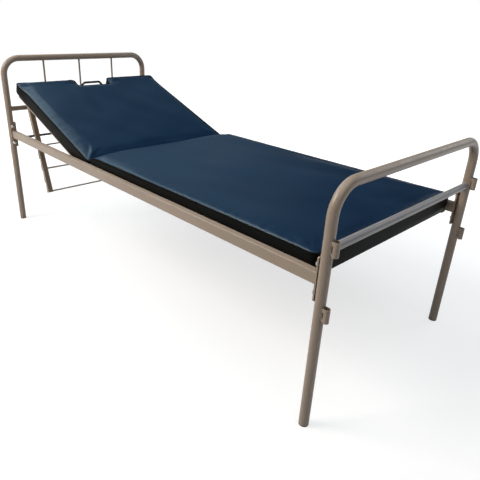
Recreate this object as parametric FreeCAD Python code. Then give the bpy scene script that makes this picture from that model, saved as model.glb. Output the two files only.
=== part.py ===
import FreeCAD, Part
import math
import os

# Knock-down ward bed with a padded seat section and a padded backrest that
# is propped by a notched ladder on a catch rod.
# X runs across the bed, Y along it with the foot at -Y and the head at +Y,
# Z is up from the floor. The origin is on the floor under the middle of the
# bed. All sizes are millimetres. "Near" is the -X side, "far" the +X side.

os.makedirs("parts", exist_ok=True)
V = FreeCAD.Vector
X = V(1, 0, 0)
Y = V(0, 1, 0)
Z = V(0, 0, 1)

# Overall layout
leg_spacing_x = 880.0
leg_spacing_y = 2110.0
rail_top_z = 525.0

# Bent end bows
bow_od = 32.0
bow_wall = 1.6
bow_bend = 85.0
head_bow_z = 903.0
foot_bow_z = 773.5
plug_rim = 5.0
plug_depth = 22.0
plug_clear = 0.1

# Bars across the bows
crossbar_od = 25.0
crossbar_wall = 1.5
head_crossbar_z = 642.0
foot_crossbar_z = 598.0
head_rod_d = 10.0
head_rod_step = 216.0

# Side rails and their bolted ends
rail_height = 38.0
rail_width = 25.0
rail_wall = 1.6
rail_corner = 2.5
rail_outboard = 5.0
end_plate_height = 136.0
end_plate_thick = 5.0
end_plate_outer = 11.0
corner_bolt_d = 10.0
corner_bolt_step = 90.0
corner_bolt_head_d = 19.0
corner_bolt_head_h = 9.0
insert_od = 14.0
insert_length = 20.0
thread_clear = 0.05

# Sockets for a drip pole, folded from strip and welded to the legs
socket_bore_r = 7.5
socket_strip = 2.0
socket_height = 44.0
socket_back_gap = 0.5
socket_chamfer = 6.0
socket_slot_w = 3.5
socket_slot_h = 21.0
socket_upper_z = 609.0
socket_lower_z = 408.0

# Pads and the boards under them
pad_side_gap = 5.0
pad_rise = 36.0
foam_thick = 64.0
board_thick = 12.0
pad_corner = 8.0
seat_foot_gap = 33.0
seat_to_hinge = 69.0
seat_head_round = 22.0

# Angle ledges and flats that carry the seat
ledge_leg = 25.0
ledge_thick = 3.0
ledge_end_gap = 8.0
flat_thick = 5.0
seat_flat_width = 40.0
seat_flat_count = 3
seat_flat_inset = 90.0

# Backrest and its hinge
back_angle = 20.0
hinge_from_head = 753.0
hinge_pin_d = 12.0
hinge_collar_rim = 3.0
hinge_collar = 1.0
pivot_clear = 0.05
ear_thick = 3.0
ear_side_gap = 0.5
ear_width = 44.0
ear_rim = 7.0
back_overhang = 46.0
back_length = 734.5
back_foot_round = 12.0
back_flat_width = 30.0
back_flat_inset = 2.0
notch_width = 200.0
notch_depth = 56.0
notch_corner = 18.0

# Lift handle in the notch
handle_d = 12.0
handle_sink = 8.0
handle_side_gap = 28.0
handle_taper = 26.0
handle_shoulder = 38.0
handle_bend = 12.0

# Catch rod and the notched ladder
catch_rod_d = 12.0
catch_from_head = 150.0
catch_rise = 9.0
ladder_side_gap = 37.0
ladder_leg = 25.0
ladder_thick = 3.0
ladder_top = 10.0
ladder_tail = 51.0
ladder_pivot_back = 20.0
ladder_swing_clear = 2.0
ladder_rod_d = 12.0
lug_thick = 5.0
lug_inset = 33.5
lug_width = 30.0
lug_rim = 5.0
tooth_pitch = 66.0
tooth_count = 5
tooth_bite = 4.2
tooth_seat_clear = 0.3
tooth_ramp_deg = 14.0
rung_d = 8.0
rung_set_back = 3.0
rung_pitch = 127.0
rung_count = 3
rung_end = 5.0

# Places that follow from the sizes above
leg_x = leg_spacing_x / 2
leg_y = leg_spacing_y / 2
bow_r = bow_od / 2
rail_outer_x = leg_x + rail_outboard
rail_inner_x = rail_outer_x - rail_width
rail_mid_z = rail_top_z - rail_height / 2
rail_bottom_z = rail_top_z - rail_height
plate_face_y = leg_y - bow_r
rail_end_y = plate_face_y - end_plate_thick
corner_bolt_reach = end_plate_thick + insert_length - 1.0
pad_half_width = rail_inner_x - pad_side_gap
pad_top_z = rail_top_z + pad_rise
board_top_z = pad_top_z - foam_thick
board_bottom_z = board_top_z - board_thick
flat_bottom_z = board_bottom_z - flat_thick
seat_foot_y = seat_foot_gap - plate_face_y
hinge_y = leg_y - hinge_from_head
seat_head_y = hinge_y - seat_to_hinge
hinge_z = rail_mid_z
hinge_point = V(0, hinge_y, hinge_z)
frame_half = pad_half_width + ear_side_gap
back_foot_y = hinge_y - back_overhang
back_head_y = back_foot_y + back_length
ear_radius = hinge_pin_d / 2 + ear_rim
handle_foot_half = notch_width / 2 - handle_side_gap
handle_top_half = handle_foot_half - handle_taper
handle_rise = board_thick + foam_thick - handle_sink
catch_y = leg_y - catch_from_head
catch_z = rail_mid_z + catch_rise
ladder_half = frame_half - ladder_side_gap
ladder_pivot_drop = math.hypot(ladder_leg / 2, ladder_top) + ladder_swing_clear
lug_x = ladder_half - lug_inset
lug_radius = ladder_rod_d / 2 + lug_rim
tooth_seat_out = ladder_leg / 2 - tooth_bite


def export(shape, node):
    shape.exportStep("parts/" + node + ".step")
    print(node, round(shape.Volume / 1000.0, 1), "cm3", len(shape.Solids), "solids")


def mirrored(shape):
    return shape.mirror(V(0, 0, 0), X)


def box_between(low, high):
    size = high.sub(low)
    return Part.makeBox(size.x, size.y, size.z, low)


def rod_between(start, end, radius):
    run = end.sub(start)
    return Part.makeCylinder(radius, run.Length, start, run)


def rounded_path(points, radius):
    """Straight runs through the points, joined by tangent arcs of one radius."""
    edges = []
    last = points[0]
    for before, corner, after in zip(points, points[1:], points[2:]):
        into = before.sub(corner).normalize()
        out = after.sub(corner).normalize()
        half = into.getAngle(out) / 2
        reach = radius / math.tan(half)
        bisector = into.add(out).normalize()
        centre = corner.add(bisector.multiply(radius / math.sin(half)))
        start = corner.add(V(into).multiply(reach))
        end = corner.add(V(out).multiply(reach))
        to_corner = corner.sub(centre).normalize()
        middle = centre.add(to_corner.multiply(radius))
        edges.append(Part.LineSegment(last, start).toShape())
        edges.append(Part.Arc(start, middle, end).toShape())
        last = end
    edges.append(Part.LineSegment(last, points[-1]).toShape())
    return Part.Wire(edges)


def swept_round(points, bend, radius):
    path = rounded_path(points, bend)
    circle = Part.Circle(points[0], points[1].sub(points[0]), radius).toShape()
    return path.makePipeShell([Part.Wire(circle)], True, True)


def round_tube(start, end, od, wall):
    run = end.sub(start).normalize()
    over = V(run).multiply(1.0)
    outer = rod_between(start, end, od / 2)
    inner = rod_between(start.sub(over), end.add(over), od / 2 - wall)
    return outer.cut(inner)


def turned_up(shape):
    """Turns a backrest piece, drawn lying flat, up to its resting angle."""
    shape.rotate(hinge_point, X, back_angle)
    return shape


def bow(y, top_z):
    corners = [V(-leg_x, y, plug_rim), V(-leg_x, y, top_z), V(leg_x, y, top_z), V(leg_x, y, plug_rim)]
    outer = swept_round(corners, bow_bend, bow_r)
    inner = swept_round(corners, bow_bend, bow_r - bow_wall)
    tube = outer.cut(inner)
    inward = -1.0 if y > 0 else 1.0
    for side in (-1, 1):
        for z in bolt_heights():
            seat = V(side * leg_x, y, z)
            tube = tube.cut(Part.makeCylinder(insert_od / 2, bow_od, seat, V(0, inward, 0)))
    return tube, outer


def bolt_heights():
    return [rail_mid_z - corner_bolt_step / 2, rail_mid_z + corner_bolt_step / 2]


def leg_plugs():
    """Four end plugs, each a rim under the leg and a stem inside it."""
    plugs = []
    stem_r = bow_r - bow_wall - plug_clear
    for x in (-leg_x, leg_x):
        for y in (-leg_y, leg_y):
            rim = Part.makeCylinder(bow_r, plug_rim, V(x, y, 0))
            rim = rim.makeChamfer(1.2, [rim.Edges[2]])
            stem = Part.makeCylinder(stem_r, plug_depth, V(x, y, plug_rim))
            plugs.append(rim.fuse(stem).removeSplitter())
    return Part.makeCompound(plugs)


def crossbar(y, z, bow_outer):
    """Round tube between the legs, with its ends shaped to them."""
    bar = round_tube(V(-leg_x, y, z), V(leg_x, y, z), crossbar_od, crossbar_wall)
    return largest(bar.cut(bow_outer))


def largest(shape):
    return max(shape.Solids, key=lambda solid: solid.Volume)


def head_rod(x, bow_outer):
    rod = rod_between(V(x, leg_y, head_crossbar_z), V(x, leg_y, head_bow_z), head_rod_d / 2)
    bar = rod_between(V(-leg_x, leg_y, head_crossbar_z), V(leg_x, leg_y, head_crossbar_z), crossbar_od / 2)
    return largest(rod.cut(bow_outer).cut(bar))


def pole_socket(x, y, z, outward):
    """Strip folded round a pole: two flat cheeks, a round nose and open ends."""
    centre_y = bow_r + socket_back_gap + socket_bore_r
    outer_r = socket_bore_r + socket_strip
    cheek_y = math.sqrt(bow_r ** 2 - outer_r ** 2) - 1.0
    half = socket_height / 2

    def stadium(radius, start_y, bottom, top):
        nose = Part.makeCylinder(radius, top - bottom, V(0, centre_y, bottom))
        body = box_between(V(-radius, start_y, bottom), V(radius, centre_y, top))
        return nose.fuse(body).removeSplitter()

    strip = stadium(outer_r, cheek_y, -half, half)
    strip = strip.cut(stadium(socket_bore_r, cheek_y - 1.0, -half - 1.0, half + 1.0))
    corner = Part.makePolygon([
        V(-bow_od, cheek_y, -half - 0.1),
        V(-bow_od, cheek_y + socket_chamfer + 4.0, -half - 0.1),
        V(-bow_od, cheek_y, -half + socket_chamfer + 4.0),
        V(-bow_od, cheek_y, -half - 0.1),
    ])
    strip = strip.cut(Part.Face(corner).extrude(V(2 * bow_od, 0, 0)))
    slot_y = bow_r + socket_slot_w / 2
    slot_r = socket_slot_w / 2
    slot_low = V(-bow_od, slot_y, -socket_slot_h / 2 + slot_r)
    slot_high = V(-bow_od, slot_y, socket_slot_h / 2 - slot_r)
    slot = Part.makeCylinder(slot_r, 2 * bow_od, slot_low, X)
    slot = slot.fuse(Part.makeCylinder(slot_r, 2 * bow_od, slot_high, X))
    slot = slot.fuse(box_between(slot_low.sub(V(0, slot_r, 0)), slot_high.add(V(2 * bow_od, slot_r, 0))))
    strip = strip.cut(slot)
    strip = strip.cut(Part.makeCylinder(bow_r, 2 * socket_height, V(0, 0, -socket_height)))
    if outward < 0:
        strip.rotate(V(0, 0, 0), Z, 180)
    strip.translate(V(x, y, z))
    return strip


def side_rail():
    """Rectangular tube with rounded corners, drawn on the near side."""
    outer = box_between(V(-rail_outer_x, -rail_end_y, rail_bottom_z), V(-rail_inner_x, rail_end_y, rail_top_z))
    wall = V(rail_wall, -1.0, rail_wall)
    low = V(-rail_outer_x, -rail_end_y, rail_bottom_z).add(wall)
    high = V(-rail_inner_x, rail_end_y, rail_top_z).sub(wall)
    long_edges = [edge for edge in outer.Edges if edge.Length > rail_end_y]
    outer = outer.makeFillet(rail_corner, long_edges)
    inner = box_between(low, high)
    inner_edges = [edge for edge in inner.Edges if edge.Length > rail_end_y]
    inner = inner.makeFillet(rail_corner - rail_wall, inner_edges)
    return outer.cut(inner)


def rail_end_plates():
    """Plates across the rail ends that bolt against the legs."""
    plates = []
    inner = rail_inner_x
    outer = leg_x + end_plate_outer
    bottom = rail_mid_z - end_plate_height / 2
    top = rail_mid_z + end_plate_height / 2
    for end in (-1, 1):
        y_low = min(end * rail_end_y, end * plate_face_y)
        y_high = max(end * rail_end_y, end * plate_face_y)
        plate = box_between(V(-outer, y_low, bottom), V(-inner, y_high, top))
        corners = [edge for edge in plate.Edges if abs(edge.Length - end_plate_thick) < 0.01]
        plate = plate.makeFillet(5.0, corners)
        for z in bolt_heights():
            hole_r = corner_bolt_d / 2 + 0.5
            plate = plate.cut(Part.makeCylinder(hole_r, 3 * end_plate_thick, V(-leg_x, y_low - end_plate_thick, z), Y))
        plates.append(plate)
        plates.append(mirrored(plate))
    return Part.makeCompound(plates)


def dome_bolt(inward):
    """A dome-headed bolt along -Y from its seat at the origin."""
    sphere_r = (corner_bolt_head_d ** 2 / 4 + corner_bolt_head_h ** 2) / (2 * corner_bolt_head_h)
    ball = Part.makeSphere(sphere_r, V(0, corner_bolt_head_h - sphere_r, 0))
    keep = Part.makeCylinder(corner_bolt_head_d, 2 * corner_bolt_head_h, V(0, 0, 0), Y)
    head = ball.common(keep)
    shank_r = corner_bolt_d / 2 - thread_clear
    shank = Part.makeCylinder(shank_r, corner_bolt_reach, V(0, 0, 0), V(0, -1, 0))
    bolt = head.fuse(shank).removeSplitter()
    if inward < 0:
        bolt.rotate(V(0, 0, 0), Z, 180)
    return bolt


def corner_bolts_and_inserts():
    bolts = []
    inserts = []
    for x in (-leg_x, leg_x):
        for end in (-1, 1):
            for z in bolt_heights():
                bolt = dome_bolt(-end)
                bolt.translate(V(x, end * rail_end_y, z))
                bolts.append(bolt)
                start = V(x, end * plate_face_y, z)
                outside = V(0, end, 0)
                body = Part.makeCylinder(insert_od / 2, insert_length, start, outside)
                hole = Part.makeCylinder(corner_bolt_d / 2, insert_length, start, outside)
                inserts.append(body.cut(hole))
    return Part.makeCompound(bolts), Part.makeCompound(inserts)


def seat_ledge():
    """Angle welded inside the near rail, with its flat leg under the board."""
    start_y = seat_foot_y - 2.0
    end_y = seat_head_y - ledge_end_gap
    bottom = board_bottom_z - ledge_thick
    upright = box_between(
        V(-rail_inner_x, start_y, bottom), V(-rail_inner_x + ledge_thick, end_y, bottom + ledge_leg)
    )
    shelf = box_between(
        V(-rail_inner_x, start_y, bottom), V(-rail_inner_x + ledge_leg, end_y, board_bottom_z)
    )
    return upright.fuse(shelf).removeSplitter()


def seat_flats():
    """Flats across the bed under the seat board, between the two ledges."""
    reach = rail_inner_x - ledge_leg
    first = seat_foot_y + seat_flat_inset
    last = seat_head_y - seat_flat_inset
    step = (last - first) / (seat_flat_count - 1)
    flats = []
    for place in range(seat_flat_count):
        y = first + place * step
        flats.append(box_between(
            V(-reach, y - seat_flat_width / 2, flat_bottom_z), V(reach, y + seat_flat_width / 2, board_bottom_z)
        ))
    return Part.makeCompound(flats)


def seat_board():
    board = box_between(
        V(-pad_half_width, seat_foot_y, board_bottom_z), V(pad_half_width, seat_head_y, board_top_z)
    )
    corners = [edge for edge in board.Edges if abs(edge.Length - board_thick) < 0.01]
    return board.makeFillet(pad_corner, corners)


def seat_cushion():
    pad = box_between(V(-pad_half_width, seat_foot_y, board_top_z), V(pad_half_width, seat_head_y, pad_top_z))
    uprights = [edge for edge in pad.Edges if abs(edge.Length - foam_thick) < 0.01]
    return pad.makeFillet(pad_corner, uprights).cut(seat_head_rounding())


def seat_head_rounding():
    """What is cut away to roll the seat pad's upper edge over at the crease."""
    width = 2 * pad_half_width + 20.0
    start = V(-width / 2, seat_head_y - seat_head_round, pad_top_z - seat_head_round)
    block = Part.makeBox(width, seat_head_round + 1.0, seat_head_round + 1.0, start)
    roll = Part.makeCylinder(seat_head_round, width, start, X)
    return block.cut(roll)


def hinge_pins():
    """Shouldered studs on the inner faces of the rails."""
    length = rail_inner_x - pad_half_width - 0.4
    start = V(-rail_inner_x, hinge_y, hinge_z)
    pin = Part.makeCylinder(hinge_pin_d / 2, length, start, X)
    collar = Part.makeCylinder(hinge_pin_d / 2 + hinge_collar_rim, hinge_collar, start, X)
    near = pin.fuse(collar).removeSplitter()
    return Part.makeCompound([near, mirrored(near)])


def hinge_ear():
    """Ear plate at the foot corner of the backrest frame, drawn flat."""
    inner = -frame_half
    outer = inner - ear_thick
    base = box_between(
        V(outer, hinge_y - ear_width / 2, flat_bottom_z), V(inner, hinge_y + ear_width / 2, flat_bottom_z + 14.0)
    )
    eye = Part.makeCylinder(ear_radius, ear_thick, V(outer, hinge_y, hinge_z), X)
    web = Part.makePolygon([
        V(outer, hinge_y - ear_width / 2, flat_bottom_z + 14.0),
        V(outer, hinge_y - ear_radius, hinge_z),
        V(outer, hinge_y + ear_radius, hinge_z),
        V(outer, hinge_y + ear_width / 2, flat_bottom_z + 14.0),
        V(outer, hinge_y - ear_width / 2, flat_bottom_z + 14.0),
    ])
    web = Part.Face(web).extrude(V(ear_thick, 0, 0))
    ear = base.fuse([eye, web]).removeSplitter()
    bore_r = hinge_pin_d / 2 + pivot_clear
    ear = ear.cut(Part.makeCylinder(bore_r, 3 * ear_thick, V(outer - ear_thick, hinge_y, hinge_z), X))
    return turned_up(ear)


def back_side_flat():
    head_y = back_head_y - back_flat_inset
    foot_y = hinge_y - ear_width / 2
    flat = box_between(
        V(-frame_half, foot_y, flat_bottom_z), V(-frame_half + back_flat_width, head_y, board_bottom_z)
    )
    return turned_up(flat)


def back_cross_flat(middle_y):
    reach = frame_half - back_flat_width
    flat = box_between(
        V(-reach, middle_y - back_flat_width / 2, flat_bottom_z),
        V(reach, middle_y + back_flat_width / 2, board_bottom_z),
    )
    return turned_up(flat)


def head_flat_y():
    return back_head_y - back_flat_inset - back_flat_width / 2


def notch_tool(bottom, top):
    """The rounded bay cut in the head edge for the lift handle."""
    floor_y = back_head_y - notch_depth
    bay = box_between(
        V(-notch_width / 2, floor_y, bottom - 1.0), V(notch_width / 2, back_head_y + notch_corner, top + 1.0)
    )
    inner_corners = []
    for edge in bay.Edges:
        bounds = edge.BoundBox
        if bounds.YMax < floor_y + 0.1 and bounds.ZLength > 1.0:
            inner_corners.append(edge)
    return bay.makeFillet(notch_corner, inner_corners)


def back_board():
    board = box_between(
        V(-pad_half_width, back_foot_y, board_bottom_z), V(pad_half_width, back_head_y, board_top_z)
    )
    corners = [edge for edge in board.Edges if abs(edge.Length - board_thick) < 0.01]
    board = board.makeFillet(pad_corner, corners)
    return turned_up(board.cut(notch_tool(board_bottom_z, board_top_z)))


def back_cushion():
    pad = box_between(V(-pad_half_width, back_foot_y, board_top_z), V(pad_half_width, back_head_y, pad_top_z))
    uprights = [edge for edge in pad.Edges if abs(edge.Length - foam_thick) < 0.01]
    pad = pad.makeFillet(pad_corner, uprights)
    width = 2 * pad_half_width + 20.0
    start = V(-width / 2, back_foot_y + back_foot_round, pad_top_z - back_foot_round)
    block = Part.makeBox(width, back_foot_round + 1.0, back_foot_round + 1.0, start.sub(V(0, back_foot_round + 1.0, 0)))
    roll = Part.makeCylinder(back_foot_round, width, start, X)
    pad = pad.cut(block.cut(roll))
    return turned_up(pad.cut(notch_tool(board_top_z, pad_top_z)))


def lift_handle():
    """Bent rod that stands in the notch, welded to the head flat."""
    y = head_flat_y()
    foot_z = board_bottom_z
    points = [
        V(-handle_foot_half, y, foot_z),
        V(-handle_foot_half, y, foot_z + handle_shoulder),
        V(-handle_top_half, y, foot_z + handle_rise - handle_d / 2),
        V(handle_top_half, y, foot_z + handle_rise - handle_d / 2),
        V(handle_foot_half, y, foot_z + handle_shoulder),
        V(handle_foot_half, y, foot_z),
    ]
    return turned_up(swept_round(points, handle_bend, handle_d / 2))


def ladder_pivot_point():
    """The ladder's pivot with the backrest at rest."""
    point = V(0, head_flat_y() + ladder_pivot_back - back_flat_width / 2, flat_bottom_z - ladder_pivot_drop)
    arm = point.sub(hinge_point)
    turn = math.radians(back_angle)
    return V(
        0,
        hinge_y + arm.y * math.cos(turn) - arm.z * math.sin(turn),
        hinge_z + arm.y * math.sin(turn) + arm.z * math.cos(turn),
    )


def ladder_lugs():
    """Plates under the head flat that carry the ladder's pivot rod."""
    y = head_flat_y() + ladder_pivot_back - back_flat_width / 2
    z = flat_bottom_z - ladder_pivot_drop
    lugs = []
    for side in (-1, 1):
        start_x = side * lug_x - lug_thick / 2
        outline = Part.makePolygon([
            V(start_x, y - lug_radius, z),
            V(start_x, head_flat_y() - lug_width / 2, flat_bottom_z),
            V(start_x, head_flat_y() + lug_width / 2, flat_bottom_z),
            V(start_x, y + lug_radius, z),
            V(start_x, y - lug_radius, z),
        ])
        plate = Part.Face(outline).extrude(V(lug_thick, 0, 0))
        plate = plate.fuse(Part.makeCylinder(lug_radius, lug_thick, V(start_x, y, z), X)).removeSplitter()
        bore_r = ladder_rod_d / 2 + pivot_clear
        lugs.append(plate.cut(Part.makeCylinder(bore_r, 3 * lug_thick, V(start_x - lug_thick, y, z), X)))
    return turned_up(Part.makeCompound(lugs))


def ladder_reach():
    """Distance down the ladder from its pivot to the first notch, and its lean."""
    pivot = ladder_pivot_point()
    across = pivot.y - catch_y
    down = pivot.z - catch_z
    gap = math.hypot(across, down)
    first = math.sqrt(gap ** 2 - tooth_seat_out ** 2)
    lean = math.atan2(across, down) + math.asin(tooth_seat_out / gap)
    return first, math.degrees(lean)


def ladder_foot():
    """How far the ladder reaches below its pivot."""
    first, lean = ladder_reach()
    return first + (tooth_count - 1) * tooth_pitch + ladder_tail


def ladder_placed(shape):
    """Moves a ladder piece, drawn upright with its pivot at the origin, to rest."""
    first, lean = ladder_reach()
    shape.rotate(V(0, 0, 0), X, -lean)
    shape.translate(ladder_pivot_point())
    return shape


def ladder_notch(depth_down):
    """One hooked notch: a flat upper face, a round seat and a long ramp below."""
    edge = ladder_leg / 2 + 2.0
    seat_r = catch_rod_d / 2 + tooth_seat_clear
    ramp = math.radians(tooth_ramp_deg)
    touch = V(0, tooth_seat_out - seat_r * math.cos(ramp), -depth_down - seat_r * math.sin(ramp))
    run = (edge - touch.y) / math.tan(ramp)
    upper_seat = V(0, tooth_seat_out, -depth_down + seat_r)
    seat_bottom = V(0, tooth_seat_out - seat_r, -depth_down)
    mouth_top = V(0, edge, -depth_down + seat_r)
    mouth_bottom = V(0, edge, touch.z - run)
    outline = Part.Wire([
        Part.LineSegment(mouth_top, upper_seat).toShape(),
        Part.Arc(upper_seat, seat_bottom, touch).toShape(),
        Part.LineSegment(touch, mouth_bottom).toShape(),
        Part.LineSegment(mouth_bottom, mouth_top).toShape(),
    ])
    tool = Part.Face(outline).extrude(V(3 * ladder_leg, 0, 0))
    tool.translate(V(-ladder_half - ladder_leg, 0, 0))
    return tool


def ladder_side():
    """Angle with hooked notches along the head edge of its side leg, near side."""
    first, lean = ladder_reach()
    foot = ladder_foot()
    half = ladder_leg / 2
    side_leg = box_between(
        V(-ladder_half, -half, -foot), V(-ladder_half + ladder_thick, half, ladder_top)
    )
    front_leg = box_between(
        V(-ladder_half, -half, -foot), V(-ladder_half + ladder_leg, -half + ladder_thick, ladder_top)
    )
    side = side_leg.fuse(front_leg).removeSplitter()
    for place in range(tooth_count):
        side = side.cut(ladder_notch(first + place * tooth_pitch))
    hole = Part.makeCylinder(ladder_rod_d / 2, 3 * ladder_leg, V(-ladder_half - ladder_leg, 0, 0), X)
    return side.cut(hole)


def ladder_rungs():
    reach = ladder_half - ladder_thick
    rungs = []
    for place in range(rung_count):
        z = -ladder_foot() + rung_end + place * rung_pitch
        rungs.append(rod_between(V(-reach, -rung_set_back, z), V(reach, -rung_set_back, z), rung_d / 2))
    return Part.makeCompound(rungs)


def ladder_pivot_rod():
    reach = ladder_half + 6.0
    return rod_between(V(-reach, 0, 0), V(reach, 0, 0), ladder_rod_d / 2)


head_bow, head_bow_outer = bow(leg_y, head_bow_z)
foot_bow, foot_bow_outer = bow(-leg_y, foot_bow_z)
export(head_bow, "head_bow")
export(foot_bow, "foot_bow")
export(leg_plugs(), "leg_plugs")
export(crossbar(leg_y, head_crossbar_z, head_bow_outer), "head_crossbar")
export(crossbar(-leg_y, foot_crossbar_z, foot_bow_outer), "foot_crossbar")
export(head_rod(-head_rod_step, head_bow_outer), "head_rod_near")
export(head_rod(0.0, head_bow_outer), "head_rod_middle")
export(head_rod(head_rod_step, head_bow_outer), "head_rod_far")

export(pole_socket(-leg_x, -leg_y, socket_upper_z, -1), "socket_foot_near_upper")
export(pole_socket(-leg_x, -leg_y, socket_lower_z, -1), "socket_foot_near_lower")
export(pole_socket(leg_x, -leg_y, socket_upper_z, -1), "socket_foot_far_upper")
export(pole_socket(leg_x, -leg_y, socket_lower_z, -1), "socket_foot_far_lower")
export(pole_socket(-leg_x, leg_y, socket_lower_z, 1), "socket_head_near")
export(pole_socket(leg_x, leg_y, socket_lower_z, 1), "socket_head_far")

near_rail = side_rail()
export(near_rail, "side_rail_near")
export(mirrored(near_rail), "side_rail_far")
export(rail_end_plates(), "rail_end_plates")
bolts, inserts = corner_bolts_and_inserts()
export(bolts, "corner_bolts")
export(inserts, "leg_inserts")

near_ledge = seat_ledge()
export(near_ledge, "seat_ledge_near")
export(mirrored(near_ledge), "seat_ledge_far")
export(seat_flats(), "seat_cross_flats")
export(seat_board(), "seat_board")
export(seat_cushion(), "seat_cushion")

catch_rod = rod_between(V(-rail_inner_x, catch_y, catch_z), V(rail_inner_x, catch_y, catch_z), catch_rod_d / 2)
export(catch_rod, "catch_rod")
export(hinge_pins(), "hinge_pins")

near_ear = hinge_ear()
export(near_ear, "hinge_ear_near")
export(mirrored(near_ear), "hinge_ear_far")
near_flat = back_side_flat()
export(near_flat, "back_side_flat_near")
export(mirrored(near_flat), "back_side_flat_far")
middle_flat_y = (hinge_y + head_flat_y()) / 2
foot_flat_y = hinge_y - ear_width / 2 + back_flat_width / 2
export(back_cross_flat(head_flat_y()), "back_head_flat")
export(back_cross_flat(middle_flat_y), "back_middle_flat")
export(back_cross_flat(foot_flat_y), "back_foot_flat")
export(back_board(), "back_board")
export(back_cushion(), "back_cushion")
export(lift_handle(), "lift_handle")
export(ladder_lugs(), "ladder_lugs")

near_side = ladder_side()
far_side = mirrored(near_side)
export(ladder_placed(near_side), "ladder_side_near")
export(ladder_placed(far_side), "ladder_side_far")
export(ladder_placed(ladder_rungs()), "ladder_rungs")
export(ladder_placed(ladder_pivot_rod()), "ladder_pivot_rod")

pivot = ladder_pivot_point()
first_notch, ladder_lean = ladder_reach()
print("ladder pivot", round(pivot.y, 3), round(pivot.z, 3), "lean", round(ladder_lean, 3), "first", round(first_notch, 3))
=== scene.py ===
import bpy
import numpy as np
from mathutils import Matrix, Vector


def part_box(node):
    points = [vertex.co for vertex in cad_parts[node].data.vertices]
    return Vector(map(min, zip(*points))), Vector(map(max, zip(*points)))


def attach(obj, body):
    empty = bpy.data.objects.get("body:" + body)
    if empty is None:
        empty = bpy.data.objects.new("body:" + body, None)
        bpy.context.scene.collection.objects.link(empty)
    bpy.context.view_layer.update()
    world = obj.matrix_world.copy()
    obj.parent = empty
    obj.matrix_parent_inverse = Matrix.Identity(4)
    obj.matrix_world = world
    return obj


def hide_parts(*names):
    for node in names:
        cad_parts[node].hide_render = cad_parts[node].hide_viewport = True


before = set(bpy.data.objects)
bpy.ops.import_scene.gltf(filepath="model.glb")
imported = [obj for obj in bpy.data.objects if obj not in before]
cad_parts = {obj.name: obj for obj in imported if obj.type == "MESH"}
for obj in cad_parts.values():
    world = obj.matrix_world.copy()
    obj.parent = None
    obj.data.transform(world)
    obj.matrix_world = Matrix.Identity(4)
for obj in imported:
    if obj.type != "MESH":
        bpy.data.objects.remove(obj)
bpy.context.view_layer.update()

# The viewpoint of the photograph: a person standing off the foot corner on the near side, looking
# down the bed towards its head. Place, turn and lens come from fitting the bed's straight tubes.
camera_data = bpy.data.cameras.new("view")
camera_data.sensor_width = 36.0
camera_data.lens = 36.244
camera_data.shift_x = 0.0464
camera_data.shift_y = -0.0241
camera_data.clip_start = 0.05
camera = bpy.data.objects.new("view", camera_data)
bpy.context.scene.collection.objects.link(camera)
camera.matrix_world = Matrix((
    (0.734432, 0.249570, -0.631130, -1.430091),
    (-0.677786, 0.317490, -0.663179, -1.676783),
    (0.034868, 0.914830, 0.402330, 1.146856),
    (0.0, 0.0, 0.0, 1.0),
))
bpy.context.scene.camera = camera
bpy.context.scene.view_settings.view_transform = "Standard"

# Head bow, foot bow, crossbars, upright rods, rails and all the welded bars: mild steel tube and flat,
# sprayed in one warm beige enamel. The film has a fine orange peel, settles thin on edges, and carries
# dust and scuffs, most of them low on the legs where brooms and shoes reach.


def put(tree, kind, inputs=None, **settings):
    """Adds one shader node, sets its properties, and gives each named input a plain value or a link."""
    made = tree.nodes.new(kind)
    for name, value in settings.items():
        setattr(made, name, value)
    for name, value in (inputs or {}).items():
        if isinstance(value, bpy.types.NodeSocket):
            tree.links.new(value, made.inputs[name])
        else:
            made.inputs[name].default_value = value
    return made


def blend_colours(tree, share, first, second):
    """The colour that goes from first to second as share goes from 0 to 1."""
    mixed = tree.nodes.new("ShaderNodeMix")
    mixed.data_type = "RGBA"
    for number, value in ((0, share), (6, first), (7, second)):
        if isinstance(value, bpy.types.NodeSocket):
            tree.links.new(value, mixed.inputs[number])
        else:
            mixed.inputs[number].default_value = value
    return mixed.outputs[2]


def new_group(name, inputs, outputs):
    """An empty shader node group with named sockets, and its two end nodes."""
    group = bpy.data.node_groups.new(name, "ShaderNodeTree")
    for label, kind, value in inputs:
        socket = group.interface.new_socket(label, in_out="INPUT", socket_type=kind)
        socket.default_value = value
    for label, kind in outputs:
        group.interface.new_socket(label, in_out="OUTPUT", socket_type=kind)
    return group, group.nodes.new("NodeGroupInput"), group.nodes.new("NodeGroupOutput")


def new_finish(name, **plain):
    """A material whose one shader has the given plain values on its own sockets."""
    material = bpy.data.materials.new(name)
    material.use_nodes = True
    tree = material.node_tree
    shader = tree.nodes["Principled BSDF"]
    for label, value in plain.items():
        shader.inputs[label.replace("_", " ")].default_value = value
    return material, tree, shader


def object_place(tree):
    """The surface point in the object's own metres."""
    return put(tree, "ShaderNodeTexCoord").outputs["Object"]


def noise(tree, place, scale, **more):
    """Fractal noise between 0 and 1; detail, roughness and distortion are given where they matter."""
    inputs = {"Vector": place, "Scale": scale}
    inputs.update({label.capitalize(): value for label, value in more.items()})
    return put(tree, "ShaderNodeTexNoise", inputs).outputs["Fac"]


def maths(tree, operation, *values):
    """The result of one sum on numbers or other nodes' outputs."""
    return put(tree, "ShaderNodeMath", dict(enumerate(values)), operation=operation).outputs["Value"]


def ramp(tree, value, low, high, start=0.0, end=1.0, curve="LINEAR"):
    """Goes from start to end while the value goes from low to high, and holds beyond both."""
    inputs = {"Value": value, "From Min": low, "From Max": high, "To Min": start, "To Max": end}
    return put(tree, "ShaderNodeMapRange", inputs, interpolation_type=curve).outputs["Result"]


def height_part(tree, vector):
    """The vertical part of a vector."""
    return put(tree, "ShaderNodeSeparateXYZ", {"Vector": vector}).outputs["Z"]


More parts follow.
